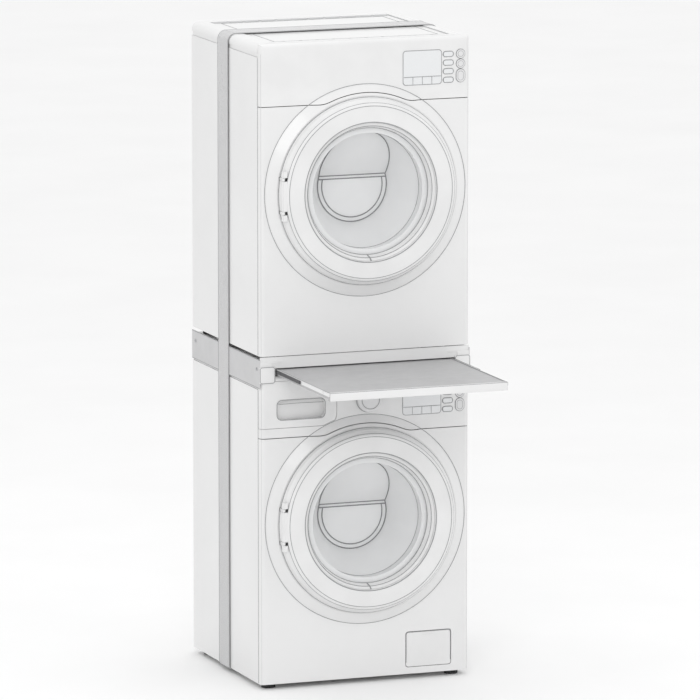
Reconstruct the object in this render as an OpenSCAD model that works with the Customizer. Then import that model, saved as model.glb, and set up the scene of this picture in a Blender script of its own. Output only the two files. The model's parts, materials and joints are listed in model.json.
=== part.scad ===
// Washer and dryer stack: two front-loading machines joined by a stacking
// frame with a pull-out shelf and a lashing strap.
// Millimetres. X runs to the right, Y to the back and Z up, from the floor.

/* [Cabinets] */
// Width of each cabinet
cab_w = 595; // [595:5:720]
// Depth of each cabinet, front panel to rear panel
cab_d = 540; // [520:5:660]
// Height of each machine, feet included
machine_h = 850; // [830:5:1030]
// Height of the levelling feet
foot_h = 15; // [12:1:25]
// Radius of the pad of a foot
foot_r = 18; // [12:1:24]
// Distance of each foot's axis from the cabinet's side
foot_inset_x = 35; // [30:1:60]
// Distance of each foot's axis from the front and the rear
foot_inset_y = 40; // [30:1:80]
// Thickness of the cabinet's sheet steel
sheet_t = 1.2; // [0.8:0.1:2]
// Thickness of the base plate
base_t = 3; // [2:0.5:5]
// Thickness of the front panel and the control panel
skin_t = 2; // [1.5:0.1:3]
// Radius of the front panel's vertical edges
edge_r = 12; // [6:1:16]
// Radius of the control panel's top front edge
brow_r = 10; // [5:1:12]
// How far the front panel wraps round the sides
return_d = 18; // [14:1:30]
// Height of the top cover's side
cover_h = 25; // [22:1:32]
// Radius of the top cover's side edges
cover_r = 20; // [12:1:20]
// Height of the shadow groove under the top cover
neck_h = 11; // [6:1:16]
// Depth of the recess in the top cover
recess_d = 2.5; // [1:0.5:4]
// Width of the flat rim beside the recess
rim_w = 20; // [12:1:30]

/* [Doors] */
// Height of the door's centre above the machine's floor line
door_z = 448; // [430:1:500]
// Radius of the raised collar round the door, at its foot
collar_r = 284; // [276:1:285]
// Radius of the collar's flat top
plateau_r = 256; // [254:1:262]
// Height of the collar
collar_h = 15; // [8:1:18]
// Radius of the opening in the front panel
port_r = 205; // [195:1:215]
// Radius of the door at its base
door_r = 252; // [240:1:256]
// Radius of the door's front face
door_face_r = 240; // [228:1:246]
// How far the door stands in front of the panel
door_out = 45; // [42:1:50]
// Radius of the round window in the door
window_r = 185; // [165:1:190]
// Wall of the door frame
door_t = 3; // [2:0.5:4]
// Radius of the glass bowl's mouth
bowl_r = 160; // [140:1:168]
// Radius of the glass bowl's end
bowl_end_r = 103; // [80:1:120]
// Distance of the bowl's end behind the panel
bowl_end_y = 105; // [90:1:115]
// Thickness of the glass
glass_t = 4; // [3:0.5:6]
// Height of the bowl's flat facet above its centre, at the end
facet_z = 29; // [10:1:60]
// Distance of the hinge axis left of the door's centre
hinge_x = 244; // [240:1:246]
// Radius of the hinge pin
pin_r = 2.5; // [2:0.1:3]

/* [Controls] */
// Height of the control panel below the machine's top
fascia_h = 166; // [150:1:190]
// Radius of the control panel's arch over the door
arch_r = 264; // [258:1:276]
// Width of the display block
display_w = 108; // [90:1:130]
// Height of the display block
display_h = 90; // [70:1:100]
// Height of the touch keys under the display
key_h = 20; // [14:1:26]
// Distance of the display's centre right of the middle
display_x = 162; // [150:1:170]
// Radius of the round buttons
button_r = 11.75; // [8:0.25:13]
// Travel of the buttons
button_travel = 1.5; // [0.5:0.1:2.5]
// Radius of the program knob
knob_r = 33; // [24:1:38]
// Length of the knob in front of the panel
knob_out = 16; // [10:1:24]
// Width of the detergent drawer's front
drawer_w = 202; // [180:1:210]
// Height of the detergent drawer's front
drawer_h = 126; // [110:1:128]

/* [Drums and drives] */
// Radius of the washer's drum
drum_r = 238; // [220:1:242]
// Radius of the washer's tub
tub_r = 262; // [255:1:270]
// Radius of the drum's mouth
mouth_r = 172; // [165:1:185]
// Distance of the drum's mouth behind the panel
drum_y = 92; // [88:1:110]
// Length of the washer's drum
drum_l = 300; // [250:5:310]
// Radius of the dryer's drum
dryer_drum_r = 272; // [250:1:276]
// Radius of the drum shaft
shaft_r = 15; // [12:1:18]
// Radius of the washer's drum pulley
pulley_r = 140; // [110:5:150]
// Radius of both motor pulleys
motor_pulley_r = 14; // [10:1:20]
// Radius of the motors
motor_r = 58; // [45:1:60]
// Height of the motors' axes above the floor line
motor_z = 102; // [90:1:110]

/* [Stacking kit] */
// Height of the gap between the machines
kit_gap = 40; // [40:1:50]
// Height of the side bands
band_h = 78; // [60:1:90]
// Thickness of the side bands
band_t = 2; // [1.5:0.5:3]
// Width of the front corner brackets
bracket_w = 41; // [38:1:50]
// Height of the front corner brackets
bracket_h = 44; // [40:1:60]
// Thickness of the front corner brackets
bracket_t = 3; // [2:0.5:4]
// Depth of the pull-out shelf
shelf_d = 430; // [380:5:440]
// Thickness of the pull-out shelf
shelf_t = 16; // [12:1:18]
// Travel of the shelf
shelf_travel = 400; // [300:5:400]
// Thickness of a moving runner
runner_t = 3.2; // [2.6:0.1:3.6]

/* [Strap] */
// Width of the strap
strap_w = 80; // [50:1:90]
// Thickness of the strap
strap_t = 2; // [1.5:0.1:3]
// Height of the ratchet's centre above the floor
ratchet_z = 1250; // [1000:10:1500]
// How far the ratchet stands out from the strap
ratchet_out = 27; // [22:1:34]

/* [Hidden] */
$fn = 96;

seam = 2;
button_gap = 0.8;
fit = 0.3;
run_fit = 0.05;
half_w = cab_w / 2;
washer_z = 0;
dryer_z = machine_h + kit_gap;
stack_h = dryer_z + machine_h;
body_top = machine_h - cover_h - neck_h;
seam_z = machine_h - fascia_h;
display_z = machine_h - 81;
door_back = -collar_h - 2;
hinge_y = collar_h + 19;
bowl_mouth_y = door_back + 28;
thread_r = 13.2;
thread_l = 12;
inlet_flange = 3;
strap_in = half_w + band_t + fit;
strap_out = strap_in + strap_t;
x_mid = ratchet_out / 2;
y_mid = (cab_d + inlet_flange + thread_l - shelf_travel) / 2;

module place() translate([-x_mid, -y_mid, 0]) children();
module at(x, y, z) translate([x, y, z]) children();
// A shape drawn in X and Z, as a plate from y0 to y0 + t
module plate(y0, t) translate([0, y0 + t, 0]) rotate([90, 0, 0]) linear_extrude(t) children();
// A shape drawn in Y and Z, as a bar from x0 to x0 + l
module bar(x0, l) translate([x0, 0, 0]) rotate([90, 0, 90]) linear_extrude(l) children();
// A profile drawn in radius and Y, turned about an axis that runs to the back
module turned(x, z) translate([x, 0, z]) rotate([-90, 0, 0]) rotate_extrude() children();
module rod(x, z, y0, l, r) translate([x, y0, z]) rotate([-90, 0, 0]) cylinder(h = l, r = r);
module box(x0, x1, y0, y1, z0, z1) translate([x0, y0, z0]) cube([x1 - x0, y1 - y0, z1 - z0]);
module both() { children(); mirror([1, 0, 0]) children(); }

module rounded(w, h, r) {
    square([w - 2 * r, h], center = true);
    square([w, h - 2 * r], center = true);
    for (sx = [-1, 1], sz = [-1, 1]) translate([sx * (w / 2 - r), sz * (h / 2 - r)]) circle(r);
}

// ---- Cabinets, the same on both machines ----

module cabinet_shell(rear_holes = []) {
    y0 = return_d + seam;
    difference() {
        box(-half_w, half_w, y0, cab_d, foot_h, body_top);
        box(-half_w + sheet_t, half_w - sheet_t, y0 - 1, cab_d - sheet_t, foot_h + base_t, body_top + 1);
        for (h = rear_holes) rod(h[0], h[1], cab_d - 5, 10, h[2]);
    }
}

module cover_profile(w, h, r) {
    translate([-w / 2, 0]) square([w, h - r]);
    translate([-w / 2 + r, 0]) square([w - 2 * r, h]);
    both() translate([w / 2 - r, h - r]) intersection() {
        circle(r);
        square([r, r]);
    }
}

module top_cover_shell() {
    y0 = return_d + seam;
    wall = 8;
    rim = cover_r + rim_w;
    translate([0, 0, machine_h - cover_h]) difference() {
        union() {
            plate(y0, cab_d - y0) cover_profile(cab_w, cover_h, cover_r);
            box(2 - half_w, half_w - 2, y0, cab_d - 2, -neck_h, 1);
        }
        box(wall - half_w, half_w - wall, y0 - 1, cab_d - wall, -neck_h - 1, cover_h - recess_d - 3);
        box(rim - half_w, half_w - rim, y0 + rim_w + 4, cab_d - rim_w - 12, cover_h - recess_d, cover_h + 1);
    }
}

// The front skin of a machine as a solid, set in by d on every outer face
module front_solid(d) {
    r = edge_r - d;
    b = brow_r - d;
    back = return_d + d;
    intersection() {
        translate([0, 0, foot_h + d]) linear_extrude(machine_h - foot_h - 2 * d) {
            for (s = [-1, 1]) translate([s * (half_w - edge_r), edge_r]) circle(r);
            translate([edge_r - half_w, d]) square([cab_w - 2 * edge_r, back - d]);
            translate([d - half_w, edge_r]) square([cab_w - 2 * d, back - edge_r]);
        }
        bar(-half_w, cab_w) {
            translate([brow_r, machine_h - brow_r]) circle(b);
            translate([d, 0]) square([back - d, machine_h - brow_r]);
            translate([brow_r, 0]) square([back - brow_r, machine_h - d]);
        }
    }
}

// The raised collar round the door, as a turned profile of the skin
module collar_profile() {
    polygon([[port_r, -collar_h], [plateau_r, -collar_h], [collar_r, 0], [collar_r + 1, 0],
        [collar_r + 1, skin_t], [collar_r - 0.5, skin_t], [plateau_r - 0.5, skin_t - collar_h],
        [port_r, skin_t - collar_h]]);
}

module front_skin() {
    difference() {
        front_solid(0);
        front_solid(skin_t);
        rod(0, door_z, -1, skin_t + 2, collar_r);
    }
    turned(0, door_z) collar_profile();
}

// The region under the control panel: flat edge, arch over the door and a fillet between them
module lower_region(gap) {
    edge = seam_z - gap;
    r = arch_r - gap;
    fillet = 80;
    rise = edge - door_z;
    fx = sqrt(pow(r + fillet, 2) - pow(rise + fillet, 2));
    k = r / (r + fillet);
    translate([-half_w - 1, 0]) square([cab_w + 2, edge]);
    translate([0, door_z]) circle(r);
    both() difference() {
        polygon([[0, edge - 20], [fx, edge - 20], [fx, edge], [fx * k, door_z + (rise + fillet) * k], [0, edge]]);
        translate([fx, edge + fillet]) circle(fillet - 0.1);
    }
}

module front_panel_shell() {
    intersection() {
        front_skin();
        plate(-collar_h - 1, collar_h + return_d + 2) lower_region(seam);
    }
}

module control_panel_shell() {
    difference() {
        front_skin();
        plate(-collar_h - 2, collar_h + return_d + 4) lower_region(0);
    }
}

// Slots in the collar for the two hinge arms and for the latch hook
arm_z = 45;
arm_h = 8;
module door_slots() {
    for (s = [-1, 1])
        box(-hinge_x - 6, -hinge_x + 6, -collar_h - 1, 5, door_z + s * arm_z - arm_h / 2 - 1, door_z + s * arm_z + arm_h / 2 + 1);
    box(latch_x - 9, latch_x + 9, -collar_h - 1, 5, door_z - 13, door_z + 13);
}

// ---- Feet ----

module four_feet(z0) {
    stem_r = 5;
    pad_h = foot_h - 5;
    for (sx = [-1, 1], y = [foot_inset_y, cab_d - foot_inset_y])
        translate([sx * (half_w - foot_inset_x), y, z0]) {
            cylinder(h = pad_h, r = foot_r);
            cylinder(h = foot_h, r = stem_r);
        }
}

// ---- Door, the same on both machines ----

latch_x = 232;
lug_gap = 1;
lug_end = 66;

module door_frame_shell() {
    round_r = 8;
    face = -door_out;
    inner_r = window_r + door_t;
    wall_r = door_r - door_t;
    difference() {
        union() {
            turned(0, door_z) difference() {
                union() {
                    polygon([[window_r, face + 4], [window_r + 4, face], [door_face_r - round_r, face],
                        [door_face_r, face + round_r], [door_face_r + 8, face + round_r + 8],
                        [door_r, door_back], [window_r, door_back - 10]]);
                    translate([door_face_r - round_r, face + round_r]) circle(round_r);
                }
                polygon([[inner_r, face + door_t + 3], [inner_r + 3, face + door_t], [door_face_r - round_r, face + door_t],
                    [door_face_r - 4, face + 8], [door_face_r + 4, face + 16], [wall_r, door_back + 1],
                    [inner_r, door_back + 1]]);
            }
            for (z = [[-arm_z + arm_h / 2 + lug_gap, arm_z - arm_h / 2 - lug_gap],
                    [arm_z + arm_h / 2 + lug_gap, lug_end], [-lug_end, -arm_z - arm_h / 2 - lug_gap]])
                hinge_lug(door_z + z[0], door_z + z[1]);
        }
        translate([-hinge_x, -hinge_y, door_z - lug_end - 4])
            cylinder(h = 2 * lug_end + 8, r = pin_r + run_fit);
        for (s = [-1, 1])
            box(-hinge_x - 20, -hinge_x + 26, -hinge_y - 6, door_back + 2,
                door_z + s * arm_z - arm_h / 2 - lug_gap, door_z + s * arm_z + arm_h / 2 + lug_gap);
    }
}

// A block of the door that runs on the hinge pin, between two heights
module hinge_lug(z0, z1) {
    r = 5;
    translate([-hinge_x, -hinge_y, z0]) cylinder(h = z1 - z0, r = r);
    box(-hinge_x - 2, -hinge_x + r + 3, -door_out + door_t, -hinge_y, z0, z1);
}

// The back of the door: a flat ring, a neck that holds the glass and the latch hook
module door_inner_shell() {
    back_r = door_r - door_t - 1.6;
    neck_r = window_r - 14;
    lip_r = window_r - 0.5;
    flange_y = door_back - door_t;
    difference() {
        union() {
            turned(0, door_z)
                polygon([[neck_r, flange_y - 2], [neck_r + 6, -door_out + 10], [lip_r, -door_out + 6],
                    [lip_r, flange_y - 2], [window_r + door_t + 1, flange_y - 2], [window_r + door_t + 1, flange_y],
                    [back_r, flange_y], [back_r, door_back], [neck_r, door_back]]);
            latch_hook();
        }
        for (s = [-1, 1])
            box(-hinge_x - 20, -hinge_x + 26, -hinge_y, door_back + 2,
                door_z + s * arm_z - arm_h / 2 - lug_gap, door_z + s * arm_z + arm_h / 2 + lug_gap);
        box(-hinge_x - 20, -hinge_x + 12, -hinge_y, flange_y + 1, door_z - lug_end - 5, door_z + lug_end + 5);
    }
}

module latch_hook() {
    tip = 8 - collar_h;
    box(latch_x - 4, latch_x + 2, door_back - 1, tip, door_z - 8, door_z + 8);
    box(latch_x - 4, latch_x + 6, tip - 3, tip, door_z - 8, door_z + 8);
}

// The glass bowl: a cone with a flat end and a slanting facet across its top
module bowl_solid(d) {
    slope = (bowl_r - facet_z) / (bowl_end_y - bowl_mouth_y);
    front = -door_out;
    back = bowl_end_y + 20;
    lift = d * sqrt(1 + slope * slope);
    intersection() {
        turned(0, door_z) polygon([[0, front], [bowl_r - d, front], [bowl_r - d, bowl_mouth_y],
            [bowl_end_r - d, bowl_end_y - d], [0, bowl_end_y - d]]);
        bar(-half_w, cab_w) polygon([[front, door_z - half_w], [front, door_z + bowl_r + slope * (bowl_mouth_y - front) - lift],
            [back, door_z + facet_z - slope * 20 - lift], [back, door_z - half_w]]);
    }
}

module door_glass_shell() {
    lip = door_back + 0.2;
    difference() {
        union() {
            turned(0, door_z) polygon([[bowl_r - glass_t, lip], [window_r - 6, lip], [window_r - 6, lip + glass_t],
                [bowl_r - glass_t, lip + glass_t]]);
            intersection() {
                bowl_solid(0);
                box(-half_w, half_w, lip, bowl_end_y + 1, door_z - half_w, door_z + half_w);
            }
        }
        bowl_solid(glass_t);
    }
}

module door_hinge_shell() {
    pin_end = lug_end + 2;
    back = skin_t - collar_h;
    for (s = [-1, 1]) {
        z = door_z + s * arm_z - arm_h / 2;
        translate([-hinge_x, -hinge_y, z]) cylinder(h = arm_h, r = pin_r + 2);
        box(-hinge_x - 4, -hinge_x + 4, -hinge_y, back + 1, z, z + arm_h);
    }
    translate([-hinge_x, -hinge_y, door_z - pin_end]) cylinder(h = 2 * pin_end, r = pin_r);
    box(-hinge_x - 1, -hinge_x + 16, back, back + 3, door_z - pin_end, door_z + pin_end);
}

// ---- Controls, the same on both machines ----

// Each button: distance right of the middle, height of its centre, width and height
BUTTONS = [[271, machine_h - 48.5, 2 * button_r, 2 * button_r],
    [271, machine_h - 75, 2 * button_r, 2 * button_r],
    [271, machine_h - 107, 24, 34]];
LENS_X = 236;
LENS_W = 26;
LENS_H = 12;
LENS_Z = [for (i = [0:3]) machine_h - 48 - 23 * i];

module button_outline(b, grow) translate([b[0], b[1]]) {
    r = b[2] / 2 + grow;
    h = b[3] - b[2];
    for (s = [-1, 1]) translate([0, s * h / 2]) circle(r);
    if (h > 0) square([2 * r, h], center = true);
}

module lens_outline(grow) for (z = LENS_Z) translate([LENS_X, z]) {
    rounded(LENS_W + 2 * grow, LENS_H + 2 * grow, 4 + grow);
}

module control_cuts() {
    plate(-1, skin_t + 2) {
        g = button_gap;
        translate([display_x, display_z]) rounded(display_w + 2 * g, display_h + 2 * g, 8 + g);
        for (b = BUTTONS) button_outline(b, g);
        lens_outline(g);
    }
}

module push_button(b) {
    stem = 12;
    plate(-2, 4 + stem) button_outline(b, 0);
}

// The display window with its four touch keys, and the four indicator lenses
module display_block() {
    key_w = display_w / 4;
    difference() {
        plate(-0.6, 12) translate([display_x, display_z]) rounded(display_w, display_h, 8);
        plate(-1, 1) translate([display_x, display_z - display_h / 2 + key_h]) square([display_w - 4, 1], center = true);
        for (i = [-1:1])
            plate(-1, 1) translate([display_x + i * key_w, display_z - display_h / 2 + key_h / 2]) square([1, key_h - 4], center = true);
    }
    plate(-1, 8) lens_outline(0);
    box(display_x + display_w / 2 - 1, LENS_X + LENS_W / 2, 4, 6, display_z - display_h / 2 + 4, display_z + display_h / 2 - 4);
}

// ---- Washer ----

flap_x = 182;
flap_z = 82;
flap_w = 132;
flap_h = 98;
flap_gap = 1.5;
flap_axis_z = flap_z - flap_h / 2 + flap_gap + 3.5;
knob_x = 10;
knob_z = display_z + 5;
drawer_x0 = 14 - half_w;
drawer_z0 = machine_h - 140;
drawer_y = 230;
cap_r = 27;
pump_z = 80;
inlet_x = 180;
inlet_z = 760;
gland_x = 230;
gland_z = 130;

module washer_cabinet() place() color("white")
    cabinet_shell([[inlet_x, inlet_z, 16], [gland_x, gland_z, 9]]);

module washer_front_panel() place() color("white") difference() {
    front_panel_shell();
    door_slots();
    plate(-1, skin_t + 2) translate([flap_x, flap_z]) rounded(flap_w, flap_h, 8);
}

module washer_top_cover() place() color("white") top_cover_shell();

// The drawer's front: it starts at the cabinet's side and clears the door's collar at its lower right
module drawer_outline(grow) difference() {
    r = 30 + grow;
    x1 = drawer_x0 + drawer_w + grow;
    z0 = drawer_z0 - grow;
    z1 = drawer_z0 + drawer_h + grow;
    union() {
        translate([-half_w - 1, z0]) square([x1 - r + half_w + 1, z1 - z0]);
        translate([-half_w - 1, z0 + r]) square([x1 + half_w + 1, z1 - z0 - 2 * r]);
        for (z = [z0 + r, z1 - r]) translate([x1 - r, z]) circle(r);
    }
    translate([0, door_z]) circle(collar_r + 4 - grow);
}

module washer_control_panel() place() color("white") difference() {
    control_panel_shell();
    control_cuts();
    plate(-1, return_d + 2) drawer_outline(1);
    rod(knob_x, knob_z, -1, skin_t + 2, 6);
}

module washer_display() place() color("dimgray") display_block();

module washer_button_upper() place() color("gainsboro") push_button(BUTTONS[0]);
module washer_button_lower() place() color("gainsboro") push_button(BUTTONS[1]);
module washer_start_button() place() color("gainsboro") push_button(BUTTONS[2]);

// The drawer: a front with a finger pocket, and a tray with three compartments
module detergent_drawer() place() color("white") {
    tray_h = 62;
    tray_w = drawer_w - 32;
    x0 = drawer_x0 + 16;
    z0 = drawer_z0 + 12;
    wall = 2.5;
    pocket_w = 136;
    pocket_h = 53;
    pocket_d = 15;
    pocket_z = drawer_z0 + 48;
    difference() {
        union() {
            intersection() {
                front_solid(fit);
                plate(-1, return_d + 1) drawer_outline(0);
            }
            box(x0, x0 + tray_w, return_d - 1, drawer_y, z0, z0 + tray_h);
        }
        plate(-1, pocket_d + 1) translate([x0 + tray_w / 2, pocket_z]) rounded(pocket_w, pocket_h, 14);
        box(x0 + tray_w / 2 - 50, x0 + tray_w / 2 + 50, 5, pocket_d, pocket_z, pocket_z + pocket_h / 2 + 8);
        for (i = [0:2]) {
            w = (tray_w - 4 * wall) / 3;
            cx = x0 + wall + i * (w + wall);
            box(cx, cx + w, 22, drawer_y - wall, z0 + wall, z0 + tray_h + 1);
        }
    }
}

module drawer_housing() place() color("lightgray") {
    gap = 2;
    wall = 2.5;
    x0 = drawer_x0 + 16 - gap;
    x1 = drawer_x0 + drawer_w - 16 + gap;
    z0 = drawer_z0 + 12 - 1;
    z1 = z0 + 62 + 8;
    difference() {
        box(x0 - wall, x1 + wall, 24, drawer_y + 40, z0 - wall, z1 + wall);
        box(x0, x1, 23, drawer_y + 40 - wall, z0, z1);
    }
}

module program_knob() place() color("gainsboro") {
    bevel = 3;
    turned(knob_x, knob_z) polygon([[0, -knob_out], [knob_r - bevel, -knob_out], [knob_r, -knob_out + bevel],
        [knob_r + 1, -0.5], [0, -0.5]]);
    rod(knob_x, knob_z, -1, 16, 5.9);
    box(knob_x - 1.5, knob_x + 1.5, -knob_out - 0.8, -knob_out + 1, knob_z + knob_r - 14, knob_z + knob_r - 5);
}

module washer_door_frame() place() color("white") door_frame_shell();
module washer_door_inner_ring() place() color("whitesmoke") door_inner_shell();
module washer_door_glass() place() color("lightblue", 0.5) door_glass_shell();
module washer_door_hinge() place() color("silver") door_hinge_shell();

tub_y = 76;
tub_l = 356;
tub_wall = 5;
tub_end = tub_y + tub_l;
tub_mouth = mouth_r + 14;
gasket_y = -collar_h;

// Rubber bellows from the front panel's opening to the tub's mouth
module door_gasket() place() color("dimgray") turned(0, door_z)
    polygon([[port_r - 7, gasket_y], [port_r - 0.2, gasket_y], [port_r - 0.2, gasket_y + 34], [tub_mouth + 14, 32],
        [tub_mouth + 14, 50], [tub_mouth + 5, 50], [tub_mouth + 5, tub_y - 0.2], [tub_mouth, tub_y - 0.2],
        [tub_mouth, 44], [tub_mouth + 9, 44], [tub_mouth + 9, 34], [port_r - 7, gasket_y + 32]]);

module washer_tub() place() color("lightgray") {
    hub_r = 48;
    hub_end = tub_end + 34;
    difference() {
        union() {
            turned(0, door_z) polygon([[tub_mouth, tub_y], [tub_r - 8, tub_y], [tub_r, tub_y + 8], [tub_r, tub_end],
                [hub_r, tub_end], [hub_r, hub_end], [bearing_r, hub_end], [bearing_r, tub_end - 8],
                [tub_r - tub_wall, tub_end - 8], [tub_r - tub_wall, tub_y + 9], [tub_r - 10, tub_y + tub_wall],
                [tub_mouth, tub_y + tub_wall]]);
            for (s = [-1, 1]) box(s * 44 - 8, s * 44 + 8, tub_end - 90, tub_end - 40, motor_z + motor_r - 8, door_z - tub_r + 6);
            both() box(150, 166, suspension_y - 12, suspension_y + 12, door_z + 190, door_z + 232);
            both() box(170, 186, suspension_y - 12, suspension_y + 12, door_z - 222, door_z - 178);
        }
        rod(0, door_z, tub_y + tub_wall, tub_l - tub_wall - 8, tub_r - tub_wall - 1);
        rod(0, motor_z, tub_end - 100, 70, motor_r);
    }
}

bearing_r = 31;
suspension_y = 330;

module washer_drum() place() color("silver") {
    t = 1.5;
    end = drum_y + drum_l;
    spider_r = 60;
    turned(0, door_z) polygon([[mouth_r, drum_y], [drum_r - 12, drum_y], [drum_r, drum_y + 12], [drum_r, end],
        [spider_r, end], [spider_r, end + 14], [shaft_r, end + 14], [shaft_r, tub_end + 42], [0, tub_end + 42],
        [0, end - t], [drum_r - t, end - t], [drum_r - t, drum_y + 12.5], [drum_r - 12.5, drum_y + t],
        [mouth_r, drum_y + t]]);
    for (a = [90, 210, 330]) lifter(a, drum_r - t, drum_y + 16, drum_l - 30);
}

// A hollow-looking wedge that carries the laundry up, on the drum's wall at an angle
module lifter(a, r, y0, l) translate([0, y0, door_z]) rotate([0, a, 0]) {
    h = 42;
    w = 26;
    difference() {
        rotate([-90, 0, 0]) linear_extrude(l) polygon([[r + 0.2 - h, -5], [r + 0.2 - h, 5], [r + 0.2, w], [r + 0.2, -w]]);
        difference() {
            translate([0, -1, 0]) rotate([-90, 0, 0]) cylinder(h = l + 2, r = r + 40);
            translate([0, -2, 0]) rotate([-90, 0, 0]) cylinder(h = l + 4, r = r + 0.4);
        }
    }
}

module drum_pulley() place() color("silver") {
    y0 = tub_end + 42;
    w = 16;
    hub_r = 26;
    difference() {
        union() {
            turned(0, door_z) polygon([[pulley_r - 8, y0], [pulley_r, y0], [pulley_r, y0 + w], [pulley_r - 8, y0 + w]]);
            turned(0, door_z) polygon([[0, y0], [hub_r, y0], [hub_r, y0 + w], [0, y0 + w]]);
            for (a = [0:60:179]) translate([0, y0 + 4, door_z]) rotate([0, a, 0])
                translate([-pulley_r + 4, 0, -8]) cube([2 * pulley_r - 8, w - 8, 16]);
        }
    }
}

// A belt round a big and a small pulley, dz apart, as a flat loop
module belt_outline(r1, r2, dz) {
    a = asin((r1 - r2) / dz);
    circle(r1);
    translate([0, -dz]) circle(r2);
    q1 = r1 - 0.02;
    q2 = r2 - 0.02;
    polygon([[-q1 * cos(a), -q1 * sin(a)], [-q2 * cos(a), -dz - q2 * sin(a)],
        [q2 * cos(a), -dz - q2 * sin(a)], [q1 * cos(a), -q1 * sin(a)]]);
}

module belt(r1, r2, z1, z2, x2, y0, w) {
    t = 4;
    dz = norm([x2, z1 - z2]);
    tilt = atan2(x2, z1 - z2);
    translate([0, 0, z1]) rotate([0, -tilt, 0]) plate(y0, w) difference() {
        belt_outline(r1 + t, r2 + t, dz);
        belt_outline(r1 + fit, r2 + fit, dz);
    }
}

module washer_belt() place() color("dimgray")
    belt(pulley_r, motor_pulley_r, door_z, motor_z, 0, tub_end + 44, 12);

module motor_body(x, y0, l) {
    cap = 8;
    difference() {
        turned(x, motor_z) polygon([[0, y0], [motor_r - cap, y0], [motor_r, y0 + cap], [motor_r, y0 + l - cap],
            [motor_r - cap, y0 + l], [0, y0 + l]]);
        rod(x, motor_z, y0 + l - 30, 31, 6 + run_fit);
    }
}

module motor_rotor(x, y0, y_end) {
    w = 18;
    turned(x, motor_z) polygon([[0, y0], [6, y0], [6, y_end - w], [motor_pulley_r, y_end - w], [motor_pulley_r, y_end],
        [0, y_end]]);
}

module washer_motor() place() color("gray") motor_body(0, tub_end - 112, 110);
module washer_motor_pulley() place() color("silver") motor_rotor(0, tub_end - 30, tub_end + 58);

module drum_bearings() place() color("silver")
    for (y = [tub_end - 6, tub_end + 16])
        turned(0, door_z) polygon([[shaft_r + run_fit, y], [bearing_r, y], [bearing_r, y + 16], [shaft_r + run_fit, y + 16]]);

module counterweight() place() color("darkgray") difference() {
    box(10, 210, 150, 300, door_z + 190, door_z + 310);
    rod(0, door_z, 140, 170, tub_r);
}

// Two springs that hang the tub from the cabinet, and two friction dampers under it
module tub_suspension() place() color("gray") both() {
    coil_r = 9;
    wire = 1.6;
    turns = 22;
    pitch = 2.8;
    spring_z = door_z + 232;
    translate([158, suspension_y, spring_z]) {
        cylinder(h = 8, r = 3);
        translate([0, 0, 7]) cylinder(h = turns * pitch + 2, r = 3);
        rotate_extrude() for (i = [0:turns - 1]) translate([coil_r - 6, 8 + i * pitch]) square([6 + wire * (i % 2), pitch + 0.01]);
    }
    box(150, half_w - sheet_t, suspension_y - 10, suspension_y + 10, spring_z + turns * pitch + 8, spring_z + turns * pitch + 11);
    translate([178, suspension_y, foot_h + base_t]) {
        cylinder(h = 14, r = 14);
        cylinder(h = 120, r = 12);
        cylinder(h = door_z - 222 - foot_h - base_t, r = 7);
    }
}

module service_flap() place() color("white") {
    w = flap_w - 2 * flap_gap;
    plate(0, skin_t) translate([flap_x, flap_z]) rounded(w, flap_h - 2 * flap_gap, 7);
    for (s = [-1, 1]) translate([flap_x + s * 50 - 6, skin_t, flap_axis_z]) rotate([0, 90, 0]) cylinder(h = 12, r = 1.6);
}

module filter_cap() place() color("gray") {
    turned(flap_x, pump_z) polygon([[0, 10], [cap_r, 10], [cap_r, 20], [cap_r - 5, 20], [cap_r - 5, 60], [0, 60]]);
    box(flap_x - 20, flap_x + 20, 5, 11, pump_z - 4, pump_z + 4);
}

module drain_pump() place() color("dimgray") {
    difference() {
        union() {
            rod(flap_x, pump_z, 21, 60, 34);
            rod(flap_x, pump_z, 80, 70, 30);
            box(flap_x - 34, flap_x + 34, 30, 140, foot_h + base_t, pump_z - 20);
        }
        rod(flap_x, pump_z, 20, 45, cap_r - 5 + run_fit);
    }
}

module inlet_valve() place() color("whitesmoke") difference() {
    union() {
        rod(inlet_x, inlet_z, cab_d - 30, 30 + inlet_flange + thread_l, thread_r);
        rod(inlet_x, inlet_z, cab_d, inlet_flange, 24);
        box(inlet_x - 18, inlet_x + 18, cab_d - 80, cab_d - 30, inlet_z - 18, inlet_z + 18);
    }
    rod(inlet_x, inlet_z, cab_d - 20, 40, 9);
}

module washer_feet() place() color("dimgray") four_feet(washer_z);

// ---- Dryer, whose floor line is the top of the stacking frame ----

module dryer_place() place() translate([0, 0, dryer_z]) children();

dryer_drum_y = 66;
dryer_drum_l = 390;
dryer_drum_end = dryer_drum_y + dryer_drum_l;
dryer_motor_x = 190;
belt_y = 300;
filter_y = 32;
filter_t = 14;
filter_w = 190;
filter_drop = 60;

module dryer_cabinet() dryer_place() color("white") cabinet_shell([[-gland_x, gland_z, 9]]);

module dryer_front_panel() dryer_place() color("white") difference() {
    front_panel_shell();
    door_slots();
}

module dryer_top_cover() dryer_place() color("white") top_cover_shell();

module dryer_control_panel() dryer_place() color("white") difference() {
    control_panel_shell();
    control_cuts();
}

module dryer_display() dryer_place() color("dimgray") display_block();
module dryer_button_upper() dryer_place() color("gainsboro") push_button(BUTTONS[0]);
module dryer_button_lower() dryer_place() color("gainsboro") push_button(BUTTONS[1]);
module dryer_start_button() dryer_place() color("gainsboro") push_button(BUTTONS[2]);
module dryer_door_frame() dryer_place() color("white") door_frame_shell();
module dryer_door_inner_ring() dryer_place() color("whitesmoke") door_inner_shell();
module dryer_door_glass() dryer_place() color("lightblue", 0.5) door_glass_shell();
module dryer_door_hinge() dryer_place() color("silver") door_hinge_shell();

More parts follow.
